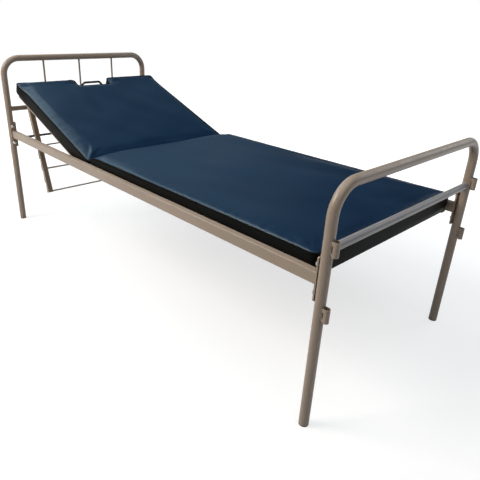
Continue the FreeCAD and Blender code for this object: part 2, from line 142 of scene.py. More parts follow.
def dress(tree, shader, colour, rough, height, strength, distance):
    """Feeds the shader its colour and roughness, and a normal that is bumped by the height."""
    relief = put(tree, "ShaderNodeBump", {"Height": height, "Strength": strength, "Distance": distance})
    tree.links.new(colour, shader.inputs["Base Color"])
    tree.links.new(rough, shader.inputs["Roughness"])
    tree.links.new(relief.outputs["Normal"], shader.inputs["Normal"])


enamel_wear, group_in, group_out = new_group(
    "enamel_wear",
    [
        ("Paint", "NodeSocketColor", (0.36, 0.26, 0.18, 1.0)),
        ("Dull", "NodeSocketColor", (0.22, 0.16, 0.12, 1.0)),
        ("Dust", "NodeSocketColor", (0.36, 0.31, 0.26, 1.0)),
        ("Low height", "NodeSocketFloat", 0.3),
        ("Scuffs", "NodeSocketFloat", 0.5),
    ],
    [("Color", "NodeSocketColor"), ("Roughness", "NodeSocketFloat"), ("Height", "NodeSocketFloat")],
)
paint, dull, dust, low_height, scuffs = list(group_in.outputs)[:5]
place = object_place(enamel_wear)
tone = noise(enamel_wear, place, 5.0, detail=4.0, roughness=0.6)
mottle = noise(enamel_wear, place, 55.0, detail=5.0, roughness=0.65)
peel = noise(enamel_wear, place, 420.0, detail=1.5, roughness=0.5)
stretched = put(enamel_wear, "ShaderNodeMapping", {"Vector": place, "Scale": (170.0, 170.0, 22.0)})
scratch = noise(enamel_wear, stretched.outputs["Vector"], 1.0, detail=6.0, roughness=0.7, distortion=0.6)
tone_mask = ramp(enamel_wear, tone, 0.38, 0.68)
mottle_mask = ramp(enamel_wear, mottle, 0.42, 0.75)
scratch_mask = ramp(enamel_wear, scratch, 0.62, 0.70)
low_mask = ramp(enamel_wear, height_part(enamel_wear, place), 0.0, low_height, 1.0, 0.0, "SMOOTHSTEP")
facing = put(enamel_wear, "ShaderNodeNewGeometry").outputs["Normal"]
up_mask = ramp(enamel_wear, height_part(enamel_wear, facing), 0.3, 1.0)
dust_cloud = maths(enamel_wear, "MULTIPLY", up_mask, mottle_mask)
low_cloud = maths(enamel_wear, "MULTIPLY", low_mask, mottle)
dusty = maths(enamel_wear, "MAXIMUM", dust_cloud, low_cloud)
low_more = maths(enamel_wear, "MULTIPLY_ADD", low_mask, 0.7, 0.3)
scuffed = maths(enamel_wear, "MULTIPLY", scratch_mask, low_more)
scuff_share = maths(enamel_wear, "MULTIPLY", scuffed, scuffs)
toned = blend_colours(enamel_wear, maths(enamel_wear, "MULTIPLY", tone_mask, 0.35), paint, dull)
dusted = blend_colours(enamel_wear, maths(enamel_wear, "MULTIPLY", dusty, 0.45), toned, dust)
scratched = blend_colours(enamel_wear, scuff_share, dusted, dull)
rough_base = maths(enamel_wear, "MULTIPLY_ADD", mottle, 0.16, 0.27)
rough_dust = maths(enamel_wear, "MULTIPLY_ADD", dusty, 0.35, rough_base)
peel_height = maths(enamel_wear, "MULTIPLY", peel, 0.7)
film_height = maths(enamel_wear, "MULTIPLY_ADD", scuff_share, -0.6, peel_height)
enamel_wear.links.new(scratched, group_out.inputs["Color"])
enamel_wear.links.new(rough_dust, group_out.inputs["Roughness"])
enamel_wear.links.new(film_height, group_out.inputs["Height"])


def enamel(name, paint, dull, dust, low_height=0.28, scuffs=0.55, bump=0.35):
    """Sprayed enamel: the wear group gives colour, roughness and the height of the film."""
    material, tree, shader = new_finish(name, Specular_IOR_Level=0.5, IOR=1.5)
    wear = put(tree, "ShaderNodeGroup", node_tree=enamel_wear)
    values = {"Paint": paint, "Dull": dull, "Dust": dust, "Low height": low_height, "Scuffs": scuffs}
    for label, value in values.items():
        wear.inputs[label].default_value = value
    dress(tree, shader, *wear.outputs[:3], bump, 0.0004)
    return material


def finish_nodes(material, *names):
    """Puts one finish on the listed metal parts."""
    for name in names:
        for place_for_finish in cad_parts[name].material_slots:
            place_for_finish.material = material


beige_enamel = enamel("beige_enamel", (0.35, 0.265, 0.20, 1.0), (0.27, 0.20, 0.15, 1.0),
                      (0.38, 0.335, 0.29, 1.0))
finish_nodes(
    beige_enamel,
    "head_bow", "foot_bow", "head_crossbar", "head_rod_near", "head_rod_middle", "head_rod_far",
    "socket_foot_near_upper", "socket_foot_near_lower", "socket_foot_far_upper", "socket_foot_far_lower",
    "socket_head_near", "socket_head_far", "side_rail_near", "side_rail_far", "rail_end_plates",
    "seat_ledge_near", "seat_ledge_far", "seat_cross_flats", "hinge_ear_near", "hinge_ear_far",
    "back_side_flat_near", "back_side_flat_far", "back_head_flat", "back_middle_flat", "back_foot_flat",
    "ladder_lugs", "ladder_side_near", "ladder_side_far", "ladder_rungs",
)

# Foot crossbar: the same tube and beige enamel, with its colour painted cooler and greyer. This is a painted
# reflection of cool light, not a paint of its own.
painted_reflection_enamel = enamel("painted_reflection_enamel", (0.285, 0.265, 0.265, 1.0), (0.22, 0.20, 0.20, 1.0),
                     (0.36, 0.34, 0.33, 1.0))
finish_nodes(painted_reflection_enamel, "foot_crossbar")

# Catch rod, the ladder's pivot rod and the lift handle: plain round bar dipped in dark brown-black enamel.
dark_enamel = enamel("dark_enamel", (0.022, 0.017, 0.015, 1.0), (0.05, 0.04, 0.035, 1.0),
                     (0.10, 0.09, 0.08, 1.0), low_height=0.1, scuffs=0.5, bump=0.25)
finish_nodes(dark_enamel, "catch_rod", "ladder_pivot_rod", "lift_handle")

# Corner bolts, hinge pins and threaded inserts: turned steel with a bright zinc coat.
zinc, tree, shader = new_finish("zinc_coat", Metallic=1.0)
place = object_place(tree)
crystals = put(tree, "ShaderNodeTexVoronoi", {"Vector": place, "Scale": 700.0})
cloud = noise(tree, place, 160.0, detail=4.0)
zinc_colour = blend_colours(tree, cloud, (0.62, 0.61, 0.59, 1.0), (0.42, 0.41, 0.40, 1.0))
zinc_rough = maths(tree, "MULTIPLY_ADD", cloud, 0.3, 0.18)
dress(tree, shader, zinc_colour, zinc_rough, crystals.outputs["Distance"], 0.15, 0.0003)
finish_nodes(zinc, "corner_bolts", "hinge_pins", "leg_inserts")

# Leg plugs: black polyethylene pushed into the tube ends, scratched and dusty where they meet the floor.
plug_plastic, tree, shader = new_finish("plug_plastic", Specular_IOR_Level=0.4)
place = object_place(tree)
grit = noise(tree, place, 240.0, detail=6.0, roughness=0.7)
grit_mask = ramp(tree, grit, 0.45, 0.75)
plug_colour = blend_colours(tree, grit_mask, (0.016, 0.015, 0.014, 1.0), (0.075, 0.068, 0.060, 1.0))
dress(tree, shader, plug_colour, maths(tree, "MULTIPLY_ADD", grit, 0.4, 0.35), grit, 0.3, 0.0004)
finish_nodes(plug_plastic, "leg_plugs")

# Seat board and backrest board: 12 mm plywood under the pads, bare below, with its grain across the bed.
plywood, tree, shader = new_finish("plywood", Specular_IOR_Level=0.3)
place = object_place(tree)
along = put(tree, "ShaderNodeMapping", {"Vector": place, "Scale": (2.2, 30.0, 30.0)})
figure = noise(tree, along.outputs["Vector"], 1.0, detail=8.0, roughness=0.62, distortion=1.4)
fibres = put(tree, "ShaderNodeMapping", {"Vector": place, "Scale": (14.0, 900.0, 900.0)})
fibre = noise(tree, fibres.outputs["Vector"], 1.0, detail=3.0)
wood_colour = put(tree, "ShaderNodeValToRGB", {"Fac": figure})
wood_colour.color_ramp.elements[0].position = 0.30
wood_colour.color_ramp.elements[0].color = (0.23, 0.13, 0.065, 1.0)
wood_colour.color_ramp.elements[1].position = 0.70
wood_colour.color_ramp.elements[1].color = (0.47, 0.31, 0.17, 1.0)
fibre_mask = ramp(tree, fibre, 0.5, 0.75, 0.0, 0.5)
wood_dark = blend_colours(tree, fibre_mask, wood_colour.outputs["Color"], (0.14, 0.08, 0.045, 1.0))
dress(tree, shader, wood_dark, maths(tree, "MULTIPLY_ADD", fibre, 0.3, 0.5), fibre, 0.4, 0.0006)
finish_nodes(plywood, "seat_board", "back_board")

# Seat pad: a slab of foam under a dark blue vinyl panel, crowned in the middle and rolled down to a thick
# black welt. A black vinyl border goes from the welt down round the edge of the board, where it is folded
# under and stapled.


def unit_edges(corners):
    """Directions of the edges before and after each corner of a closed outline."""
    before = corners - np.roll(corners, 1, axis=0)
    after = np.roll(corners, -1, axis=0) - corners
    before /= np.linalg.norm(before, axis=1)[:, None]
    after /= np.linalg.norm(after, axis=1)[:, None]
    return before, after


def rounded_outline(corners, radii, arc_points=10):
    """A closed outline: each corner is cut back by radius times the tangent of half its turn, and an arc
    about the centre beside it swings from one edge's direction to the next. Straight runs join the arcs."""
    before, after = unit_edges(corners)
    cross = before[:, 0] * after[:, 1] - before[:, 1] * after[:, 0]
    turn = np.arctan2(cross, np.sum(before * after, axis=1))
    cut = radii * np.tan(np.abs(turn) / 2.0)
    side = np.sign(turn)[:, None] * np.stack([-before[:, 1], before[:, 0]], axis=1)
    spoke = -side * radii[:, None]
    centre = corners - before * cut[:, None] - spoke
    angle = turn[:, None] * np.linspace(0.0, 1.0, arc_points)[None, :]
    x = centre[:, :1] + spoke[:, :1] * np.cos(angle) - spoke[:, 1:] * np.sin(angle)
    y = centre[:, 1:] + spoke[:, :1] * np.sin(angle) + spoke[:, 1:] * np.cos(angle)
    return np.stack([x, y], axis=-1).reshape(-1, 2)


def even_points(outline, count):
    """The closed outline again, as points at equal steps along its length."""
    loop = np.vstack([outline, outline[:1]])
    length = np.concatenate([[0.0], np.cumsum(np.linalg.norm(np.diff(loop, axis=0), axis=1))])
    steps = np.linspace(0.0, length[-1], count, endpoint=False)
    return np.stack([np.interp(steps, length, loop[:, k]) for k in range(2)], axis=1)


def outline_rings(corners, radii, insets, heights, count):
    """One ring of points for each pair of inset and height: the outline with its edges moved in by the inset
    and its corner arcs shrunk by it, or grown where the corner points inwards."""
    corners = np.asarray(corners, float)
    before, after = unit_edges(corners)
    outward = np.sign(before[:, 0] * after[:, 1] - before[:, 1] * after[:, 0])
    left = np.stack([-before[:, 1] - after[:, 1], before[:, 0] + after[:, 0]], axis=1)
    rings = np.empty((len(insets), count, 3))
    for ring, inset, height in zip(rings, insets, heights):
        arcs = np.maximum(np.asarray(radii) - outward * inset, 0.003)
        ring[:, :2] = even_points(rounded_outline(corners + inset * left, arcs), count)
        ring[:, 2] = height
    return rings


def new_piece(name, points, faces, smooth=True):
    """A mesh object at the origin, from an array of points and a list of faces."""
    mesh = bpy.data.meshes.new(name)
    mesh.from_pydata(np.asarray(points, float).tolist(), [], faces)
    mesh.polygons.foreach_set("use_smooth", np.full(len(mesh.polygons), smooth))
    mesh.update()
    piece = bpy.data.objects.new(name, mesh)
    bpy.context.scene.collection.objects.link(piece)
    return piece


def ring_faces(rows, columns, closed_rows=False):
    """Quads between neighbouring rings of a grid whose columns run all the way round."""
    index = np.arange(rows * columns).reshape(rows, columns)
    if closed_rows:
        index = np.vstack([index, index[:1]])
    nexts = np.roll(index, -1, axis=1)
    return np.stack([index[:-1], nexts[:-1], nexts[1:], index[1:]], axis=-1).reshape(-1, 4)


def facing_out(points, quads):
    """The same quads, turned over if the volume that they enclose comes out negative: the sum over each
    face's two triangles of a . (b x c)."""
    a, b, c, d = (points[quads[:, k]] for k in range(4))
    volume = np.einsum("ij,ij->", a, np.cross(b, c)) + np.einsum("ij,ij->", a, np.cross(c, d))
    return quads if volume > 0.0 else quads[:, ::-1]


def apply_modifiers(piece):
    """Replaces the piece's mesh by what its modifiers make of it."""
    depsgraph = bpy.context.evaluated_depsgraph_get()
    depsgraph.update()
    made = bpy.data.meshes.new_from_object(piece.evaluated_get(depsgraph), depsgraph=depsgraph)
    piece.modifiers.clear()
    piece.data = made


def places_of(mesh):
    """The mesh's vertex places as one array."""
    places = np.empty(len(mesh.vertices) * 3, np.float32)
    mesh.vertices.foreach_get("co", places)
    return places.reshape(-1, 3).astype(float)


def set_places(mesh, places):
    """Moves the mesh's vertices to these places."""
    mesh.vertices.foreach_set("co", places.astype(np.float32).ravel())
    mesh.update()


def ease(value):
    """Smooth step: 0 below 0, 1 above 1, and 3t^2 - 2t^3 between."""
    t = np.clip(value, 0.0, 1.0)
    return t * t * (3.0 - 2.0 * t)


def crown_height(inset, rise, seam, width):
    """Height of the crown at an inset from the edge: an arc that leaves the flat top level and reaches the
    seam after width. With drop d = rise - seam its radius is R = (width^2 + d^2) / 2d, and
    h = rise - R + sqrt(R^2 - u^2) at u = width - inset."""
    drop = rise - seam
    radius = (width ** 2 + drop ** 2) / (2.0 * drop)
    run = np.clip(width - inset, 0.0, width)
    return rise - radius + np.sqrt(radius ** 2 - run ** 2)


def foam_slab(name, corners, radii, rise, seam, width, floor_height, count, voxel):
    """The stuffed part: the crown falls from its rise to the seam over its width, then the side goes down to
    the board. It is remeshed to an even cloth."""
    crown = width * (1.0 - np.linspace(0.0, 1.0, 12))
    insets = np.concatenate([crown, np.full(6, 0.0022)])
    side_heights = np.linspace(seam - 0.004, floor_height, 6)
    heights = np.concatenate([crown_height(crown, rise, seam, width), side_heights])
    rings = outline_rings(corners, radii, insets, heights, count)
    points = rings.reshape(-1, 3)
    quads = facing_out(points, ring_faces(len(rings), count))
    top = list(range(count))
    bottom = list(range(len(points) - count, len(points)))
    slab = new_piece(name, points, quads.tolist() + [top, bottom[::-1]])
    even = slab.modifiers.new("even_cloth", "REMESH")
    even.mode = "VOXEL"
    even.voxel_size = voxel
    apply_modifiers(slab)
    return slab


def inflate(piece, seam, cap, frames=20):
    """Cloth with air pressure and no gravity fills the panel out. All below the seam is pinned, and a point
    moves by cap times the hyperbolic tangent of its travel over cap, so none goes further than cap."""
    start = places_of(piece.data)
    pins = piece.vertex_groups.new(name="border")
    pins.add(np.flatnonzero(start[:, 2] < seam).tolist(), 1.0, "REPLACE")
    cloth = piece.modifiers.new("cover", "CLOTH")
    cloth.settings.use_pressure = True
    cloth.settings.uniform_pressure_force = 4.0
    cloth.settings.effector_weights.gravity = 0.0
    cloth.settings.vertex_group_mass = "border"
    cloth.settings.tension_stiffness = 40.0
    cloth.settings.compression_stiffness = 40.0
    cloth.settings.bending_stiffness = 2.0
    cloth.point_cache.frame_start = 1
    cloth.point_cache.frame_end = frames
    for number in range(1, frames + 1):
        bpy.context.scene.frame_set(number)
    apply_modifiers(piece)
    bpy.context.scene.frame_set(1)
    travel = places_of(piece.data) - start
    distance = np.linalg.norm(travel, axis=1)[:, None] + 1e-9
    set_places(piece.data, start + travel / distance * cap * np.tanh(distance / cap))
    piece.vertex_groups.clear()


def uneven_cover(places, foot, head, half, floor_height, seed):
    """Adds what foam and stretched vinyl do: broad swells, short pulls that run in from the seam and die
    away over 20 mm, and a few folds that fan out of each corner. Heights are sums of sines with seeded
    phases."""
    chance = np.random.default_rng(seed)
    x, y, z = places[:, 0], places[:, 1], places[:, 2]
    share = np.clip((z - floor_height) / -floor_height, 0.0, 1.0) ** 2
    lift = np.zeros(len(places))
    for wave in (0.55, 0.36, 0.23, 0.17):
        heading = chance.uniform(0.0, np.pi)
        phase = chance.uniform(0.0, 2.0 * np.pi)
        lift += 0.0011 * wave / 0.55 * np.sin(
            2.0 * np.pi * (x * np.cos(heading) + y * np.sin(heading)) / wave + phase)
    side = half - np.abs(x)
    end = np.minimum(y - foot, head - y)
    for wave in (0.083, 0.057, 0.039):
        first, second = chance.uniform(0.0, 2.0 * np.pi, 2)
        lift += 0.00045 * np.exp(-side / 0.022) * np.sin(2.0 * np.pi * y / wave + first + 3.0 * np.sign(x))
        lift += 0.00045 * np.exp(-end / 0.022) * np.sin(2.0 * np.pi * x / wave + second)
    reach = np.hypot(side, end)
    angle = np.arctan2(end, side)
    lift += 0.0007 * np.exp(-((reach - 0.035) / 0.028) ** 2) * np.sin(9.0 * angle + 1.3 + np.sign(x))
    places[:, 2] += lift * share
    return places


def finish_pad(piece, shape, base, material, body, node, band=None):
    """Where a band is given, each point keeps how far it is past the band's edge, in millimetres."""
    smooth = piece.modifiers.new("smooth", "SUBSURF")
    smooth.levels = 1
    smooth.render_levels = 1
    apply_modifiers(piece)
    if band:
        past = piece.data.attributes.new("head_band", "FLOAT", "POINT")
        past.data.foreach_set("value", band(places_of(piece.data)).astype(np.float32))
    set_places(piece.data, shape(places_of(piece.data)))
    piece.data.transform(base)
    piece.data.materials.clear()
    piece.data.materials.append(material)
    piece.data.polygons.foreach_set("use_smooth", np.ones(len(piece.data.polygons), bool))
    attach(piece, body)
    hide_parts(node)


def finish_trim(piece, base, material, body):
    """Puts a border or welt in place on its body."""
    piece.data.transform(base)
    piece.data.materials.append(material)
    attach(piece, body)


def border_strip(name, corners, radii, seam, floor_height, board_thick, shape, count):
    """The border's section is a thin hook: down from the welt with a slight belly, round the board's edge,
    and 36 mm in under it, then back at a vinyl's thickness. Each point of the section becomes a ring."""
    under = floor_height - board_thick
    down = np.linspace(0.0, 1.0, 9)
    outer_in = -0.0008 * np.sin(np.pi * down)
    outer_up = seam + (under + 0.0022 - seam) * down
    bend = np.linspace(0.0, np.pi / 2.0, 5)[1:]
    bend_in = 0.003 * (1.0 - np.cos(bend))
    bend_up = under + 0.0022 - 0.003 * np.sin(bend)
    hem_in = np.array([0.014, 0.025, 0.036, 0.0362, 0.025, 0.014, 0.0035])
    hem_up = under + np.array([-0.0008, -0.0008, -0.0009, -0.0001, 0.0, 0.0, 0.0])
    back_in = np.full(5, 0.0012)
    back_up = np.linspace(under + 0.003, seam, 5)
    insets = np.concatenate([outer_in, bend_in, hem_in, back_in])
    heights = np.concatenate([outer_up, bend_up, hem_up, back_up])
    rings = outline_rings(corners, radii, insets, heights, count)
    points = shape(rings.reshape(-1, 3))
    quads = facing_out(points, ring_faces(len(rings), count, closed_rows=True))
    return new_piece(name, points, quads.tolist())


def round_along(path, radius, reference, sides=8, closed=False):
    """A round bar along a path: point = path + r cos t * side + r sin t * cap, where side is the path's
    direction crossed with a reference direction, and cap is square to both. radius may change on the way."""
    if closed:
        ahead = np.roll(path, -1, axis=0) - np.roll(path, 1, axis=0)
    else:
        ahead = np.gradient(path, axis=0)
    ahead /= np.linalg.norm(ahead, axis=1)[:, None]
    side = np.cross(ahead, reference)
    side /= np.linalg.norm(side, axis=1)[:, None]
    cap = np.cross(side, ahead)
    turn = np.linspace(0.0, 2.0 * np.pi, sides, endpoint=False)
    reach = np.broadcast_to(np.asarray(radius, float), len(path))[:, None, None]
    return path[:, None, :] + reach * (np.cos(turn)[None, :, None] * side[:, None, :]
                                       + np.sin(turn)[None, :, None] * cap[:, None, :])


def welt_cord(name, corners, radii, inset, height, radius, shape, count):
    """A cord covered in vinyl along the seam: a round bar on the shaped outline, a little uneven."""
    path = shape(outline_rings(corners, radii, [inset], [height], count)[0])
    place_along = np.linspace(0.0, 2.0 * np.pi, count, endpoint=False)
    uneven = radius * (1.0 + 0.05 * np.sin(37.0 * place_along) + 0.04 * np.sin(83.0 * place_along + 1.0))
    grid = round_along(path, uneven, np.array([0.0, 0.0, 1.0]), closed=True)
    points = grid.reshape(-1, 3)
    quads = facing_out(points, ring_faces(count, 8, closed_rows=True))
    return new_piece(name, points, quads.tolist())


vinyl_grain, group_in, group_out = new_group(
    "vinyl_grain",
    [("Scale", "NodeSocketFloat", 500.0), ("Smear", "NodeSocketFloat", 0.5)],
    [("Height", "NodeSocketFloat"), ("Roughness", "NodeSocketFloat"), ("Tone", "NodeSocketFloat")],
)
place = object_place(vinyl_grain)
grain_scale, smear_amount = list(group_in.outputs)[:2]
pebble = put(vinyl_grain, "ShaderNodeTexVoronoi", {"Vector": place, "Scale": grain_scale, "Randomness": 0.9},
             feature="SMOOTH_F1")
crease = noise(vinyl_grain, place, grain_scale, detail=3.0, distortion=0.5)
smear = noise(vinyl_grain, place, 3.2, detail=6.0, roughness=0.6, distortion=0.8)
broad = noise(vinyl_grain, place, 1.3, detail=2.0)
grain_height = maths(vinyl_grain, "MULTIPLY_ADD", crease, 0.5, pebble.outputs["Distance"])
smear_share = maths(vinyl_grain, "MULTIPLY", ramp(vinyl_grain, smear, 0.35, 0.7), smear_amount)
vinyl_rough = maths(vinyl_grain, "MULTIPLY_ADD", smear_share, 0.12, 0.37)
vinyl_tone = maths(vinyl_grain, "MULTIPLY_ADD", broad, 0.5, smear_share)
vinyl_grain.links.new(grain_height, group_out.inputs["Height"])
vinyl_grain.links.new(vinyl_rough, group_out.inputs["Roughness"])
vinyl_grain.links.new(vinyl_tone, group_out.inputs["Tone"])


def vinyl(name, deep, bloom, smear_amount, shine, band_colour=None):
    """Coated cloth: an embossed leather grain, a deep colour and a lighter bloom where hands have rubbed it.
    With a band colour, the piece's own head_band values choose where the second cloth starts."""
    material, tree, shader = new_finish(name, Specular_IOR_Level=shine, Specular_Tint=(0.8, 1.0, 1.0, 1.0))
    grain = put(tree, "ShaderNodeGroup", node_tree=vinyl_grain)
    grain.inputs["Scale"].default_value = 520.0
    grain.inputs["Smear"].default_value = smear_amount
    colour = blend_colours(tree, grain.outputs["Tone"], deep, bloom)
    if band_colour:
        past = put(tree, "ShaderNodeAttribute", attribute_name="head_band")
        colour = blend_colours(tree, ramp(tree, past.outputs["Fac"], 0.2, 0.8), colour, band_colour)
    dress(tree, shader, colour, grain.outputs["Roughness"], grain.outputs["Height"], 0.22, 0.0005)
    return material


blue = (0.0015, 0.0118, 0.037, 1.0), (0.006, 0.0255, 0.062, 1.0), 0.6, 0.30
black = 0.005, 0.005, 0.0045, 1.0
blue_vinyl = vinyl("blue_vinyl", *blue)
black_vinyl = vinyl("black_vinyl", black, (0.011, 0.011, 0.010, 1.0), 0.5, 0.02)

pad_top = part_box("seat_cushion")[1].z
board_thick = 0.012
slab_floor = 0.497 - pad_top
pad_half = 0.4158
seat_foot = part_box("seat_cushion")[0].y - 0.0008
seat_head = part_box("seat_cushion")[1].y + 0.0004
seat_corners = [(-pad_half, seat_foot), (pad_half, seat_foot), (pad_half, seat_head), (-pad_half, seat_head)]
seat_radii = [0.024, 0.024, 0.016, 0.016]
seat_seam = -0.004


def seat_shape(places):
    """Rolls the head edge down by up to 18 mm, over its last 28 mm in the middle and 75 mm at the corners,
    draws the long sides in by 2 mm between their corners, and lets the far foot corner lean out by 10 mm
    towards the foot and 4 mm over the rail. All of it fades to nothing at the board."""
    places = places.copy()
    share = np.clip((places[:, 2] - slab_floor) / -slab_floor, 0.0, 1.1)
    roll_length = 0.028 + 0.047 * ease((np.abs(places[:, 0]) - 0.24) / 0.15)
    roll = np.clip((places[:, 1] - seat_head) / roll_length + 1.0, 0.0, 1.0) ** 1.8
    along = np.clip((places[:, 1] - seat_foot) / (seat_head - seat_foot), 0.0, 1.0)
    edge = ease((np.abs(places[:, 0]) - 0.25) / 0.16)
    places[:, 0] -= np.sign(places[:, 0]) * 0.002 * np.sin(np.pi * along) * share * edge
    places[:, 2] -= 0.018 * roll * share
    slump = ease((places[:, 0] + 0.1) / 0.5) * ease((seat_foot + 0.12 - places[:, 1]) / 0.10)
    above = ease((places[:, 2] - slab_floor + 0.012) / 0.03)
    places[:, 1] -= 0.010 * slump * above
    places[:, 0] += 0.004 * slump * edge * ease((places[:, 2] - slab_floor - 0.026) / 0.012)
    return places


def worn_seat(places):
    """The seat's own swells and pulls, then its shape."""
    return seat_shape(uneven_cover(places, seat_foot, seat_head, pad_half, slab_floor, 11))


seat_place = Matrix.Translation((0.0, 0.0, pad_top))
seat_line = seat_corners, np.array(seat_radii)
seat_pad = foam_slab("seat_pad", *seat_line, 0.0045, seat_seam, 0.024, slab_floor, 420, 0.008)
inflate(seat_pad, seat_seam - 0.001, 0.003)
finish_pad(seat_pad, worn_seat, seat_place, blue_vinyl, "frame", "seat_cushion")
seat_border = border_strip("seat_border", *seat_line, seat_seam, slab_floor, board_thick, seat_shape, 420)
finish_trim(seat_border, seat_place, black_vinyl, "frame")
seat_welt = welt_cord("seat_welt", *seat_line, 0.0008, seat_seam - 0.0004, 0.0026, seat_shape, 640)
finish_trim(seat_welt, seat_place, black_vinyl, "frame")

# Backrest pad: the same build on its own board, with a bay cut in the head edge for the lift handle. Its
# cover is pulled down harder along the sides, and the foam bulges over the board at the head end.
hinge_place = Vector((0.0, 0.302, 0.506))
to_hinge = Matrix.Translation(-hinge_place)
lean = Matrix.Translation(hinge_place) @ Matrix.Rotation(np.radians(20.0), 4, "X") @ to_hinge
back_foot, back_head = 0.2558, 0.9913
bay_half, bay_depth = 0.100, 0.056
back_half = pad_half
back_corners = [
    (-back_half, back_foot), (back_half, back_foot), (back_half, back_head), (bay_half, back_head),
    (bay_half, back_head - bay_depth), (-bay_half, back_head - bay_depth), (-bay_half, back_head),
    (-back_half, back_head),
]
back_radii = np.array([0.016, 0.016, 0.016, 0.020, 0.018, 0.018, 0.020, 0.014])
back_seam = -0.0135
back_crown = 0.042


def back_shape(places):
    """Near the head end the seam rises by 8 mm, the foam bulges 7 mm over the board and the corners spread,
    by 12 mm on the near side and 6 mm on the far one. The foot edge rolls down by 4 mm. All of it fades to
    nothing at the board."""
    places = places.copy()
    share = np.clip((places[:, 2] - slab_floor) / -slab_floor, 0.0, 1.1)
    bulge = ease((places[:, 2] - slab_floor + board_thick) / 0.026)
    head = ease((places[:, 1] - back_head + 0.11) / 0.11)
    edge = ease((np.abs(places[:, 0]) - 0.30) / 0.11)
    beyond = ease((places[:, 1] - back_head + 0.05) / 0.05)
    roll = np.clip((back_foot + 0.022 - places[:, 1]) / 0.022, 0.0, 1.0) ** 2
    side = ease((np.abs(places[:, 0]) - 0.36) / 0.055)
    places[:, 2] += 0.008 * beyond * share - 0.004 * roll * share
    spread = np.where(places[:, 0] < 0.0, 0.012, 0.006)
    places[:, 0] += np.sign(places[:, 0]) * (spread * head * edge * bulge + 0.001 * side * bulge)
    places[:, 1] += 0.007 * head * bulge
    return places


def pushed_in(x):
    """How far the bulging foam has pushed the head seam in over the top: 16 mm on the near side of the bay
    and 5 mm on the far side, easing out over 60 mm at each corner and 40 mm at the bay."""
    ends = ease((back_half - np.abs(x)) / 0.06) * ease((np.abs(x) - bay_half - 0.010) / 0.04)
    return np.where(x < 0.0, 0.016, 0.005) * ends


def head_band(places):
    """Millimetres past the seam at the head edge, at most 2 either way."""
    past = places[:, 1] - (back_head - pushed_in(places[:, 0]))
    return np.clip(1000.0 * past, -2.0, 2.0)


def back_seam_shape(places):
    """The seam's path: at the head edge it goes in by what it is pushed and up on to the crown."""
    places = places.copy()
    inset = pushed_in(places[:, 0]) * ease((places[:, 1] - back_head + 0.010) / 0.007)
    places[:, 1] -= inset
    climbed = crown_height(inset, 0.0, back_seam, back_crown) - back_seam
    places[:, 2] += np.where(inset > 0.0, climbed, 0.0)
    return back_shape(places)


def worn_back(places):
    """The backrest's own swells and pulls, then its shape."""
    return back_shape(uneven_cover(places, back_foot, back_head, back_half, slab_floor, 23))


back_place = lean @ seat_place
back_line = back_corners, back_radii
back_pad = foam_slab("back_pad", *back_line, 0.0, back_seam, back_crown, slab_floor, 480, 0.0075)
inflate(back_pad, back_seam - 0.001, 0.003)
banded_vinyl = vinyl("banded_vinyl", *blue, band_colour=black)
finish_pad(back_pad, worn_back, back_place, banded_vinyl, "backrest", "back_cushion", band=head_band)
back_border = border_strip("back_border", *back_line, back_seam, slab_floor, board_thick, back_shape, 480)
finish_trim(back_border, back_place, black_vinyl, "backrest")
back_welt = welt_cord("back_welt", *back_line, 0.0008, back_seam - 0.0004, 0.0026, back_seam_shape, 640)
finish_trim(back_welt, back_place, black_vinyl, "backrest")

# Staples: galvanised wire driven through the folded border into the underside of both boards, 50 mm apart.
staple_inset, staple_pitch = 0.021, 0.05


def staple_row(name, corners, radii, height, body, base):
    """Each staple is a bent wire of square section: legs up into the board, and a crown that lies along the
    edge. All are one array, place + u * along + v * across + w * up, over the four bends of the wire and its
    corners."""
    length = np.sum(np.linalg.norm(np.diff(np.vstack([corners, corners[:1]]), axis=0), axis=1))
    row = outline_rings(corners, radii, [staple_inset], [height], int(length / staple_pitch))[0]
    along = np.roll(row, -1, axis=0) - np.roll(row, 1, axis=0)
    along /= np.linalg.norm(along, axis=1)[:, None]
    up = np.array([0.0, 0.0, 1.0])
    across = np.cross(up, along)
    bend_u = np.array([[-0.0052, -0.0052, 0.0052, 0.0052], [-0.0045, -0.0045, 0.0045, 0.0045]])
    bend_w = np.array([[0.0010, -0.0007, -0.0007, 0.0010], [0.0010, 0.0, 0.0, 0.0010]])
    u = np.stack([bend_u[0], bend_u[0], bend_u[1], bend_u[1]], axis=1)
    w = np.stack([bend_w[0], bend_w[0], bend_w[1], bend_w[1]], axis=1)
    v = np.broadcast_to(np.array([-0.0006, 0.0006, 0.0006, -0.0006]), (4, 4))
    grid = (row[:, None, None, :] + u[None, :, :, None] * along[:, None, None, :]
            + v[None, :, :, None] * across[:, None, None, :] + w[None, :, :, None] * up)
    count = len(row)
    index = np.arange(count * 16).reshape(count, 4, 4)
    nexts = np.roll(index, -1, axis=2)
    sides = np.stack([index[:, :-1], nexts[:, :-1], nexts[:, 1:], index[:, 1:]], axis=-1).reshape(-1, 4)
    ends = np.concatenate([index[:, 0, ::-1], index[:, -1]])
    points = grid.reshape(-1, 3)
    quads = facing_out(points, np.concatenate([sides, ends]))
    staples = new_piece(name, points, quads.tolist(), smooth=False)
    staples.data.transform(base)
    staples.data.materials.append(zinc)
    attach(staples, body)


hem_underside = slab_floor - board_thick - 0.0009
staple_row("seat_staples", np.array(seat_corners), np.array(seat_radii), hem_underside, "frame", seat_place)
staple_row("back_staples", np.array(back_corners), back_radii, hem_underside, "backrest", back_place)

# Weld beads on the two end frames: crossbars into the legs, upright rods between bow and crossbar, and the
# edges of the folded sockets against the legs. Each is a rippled fillet of weld metal under the same enamel.


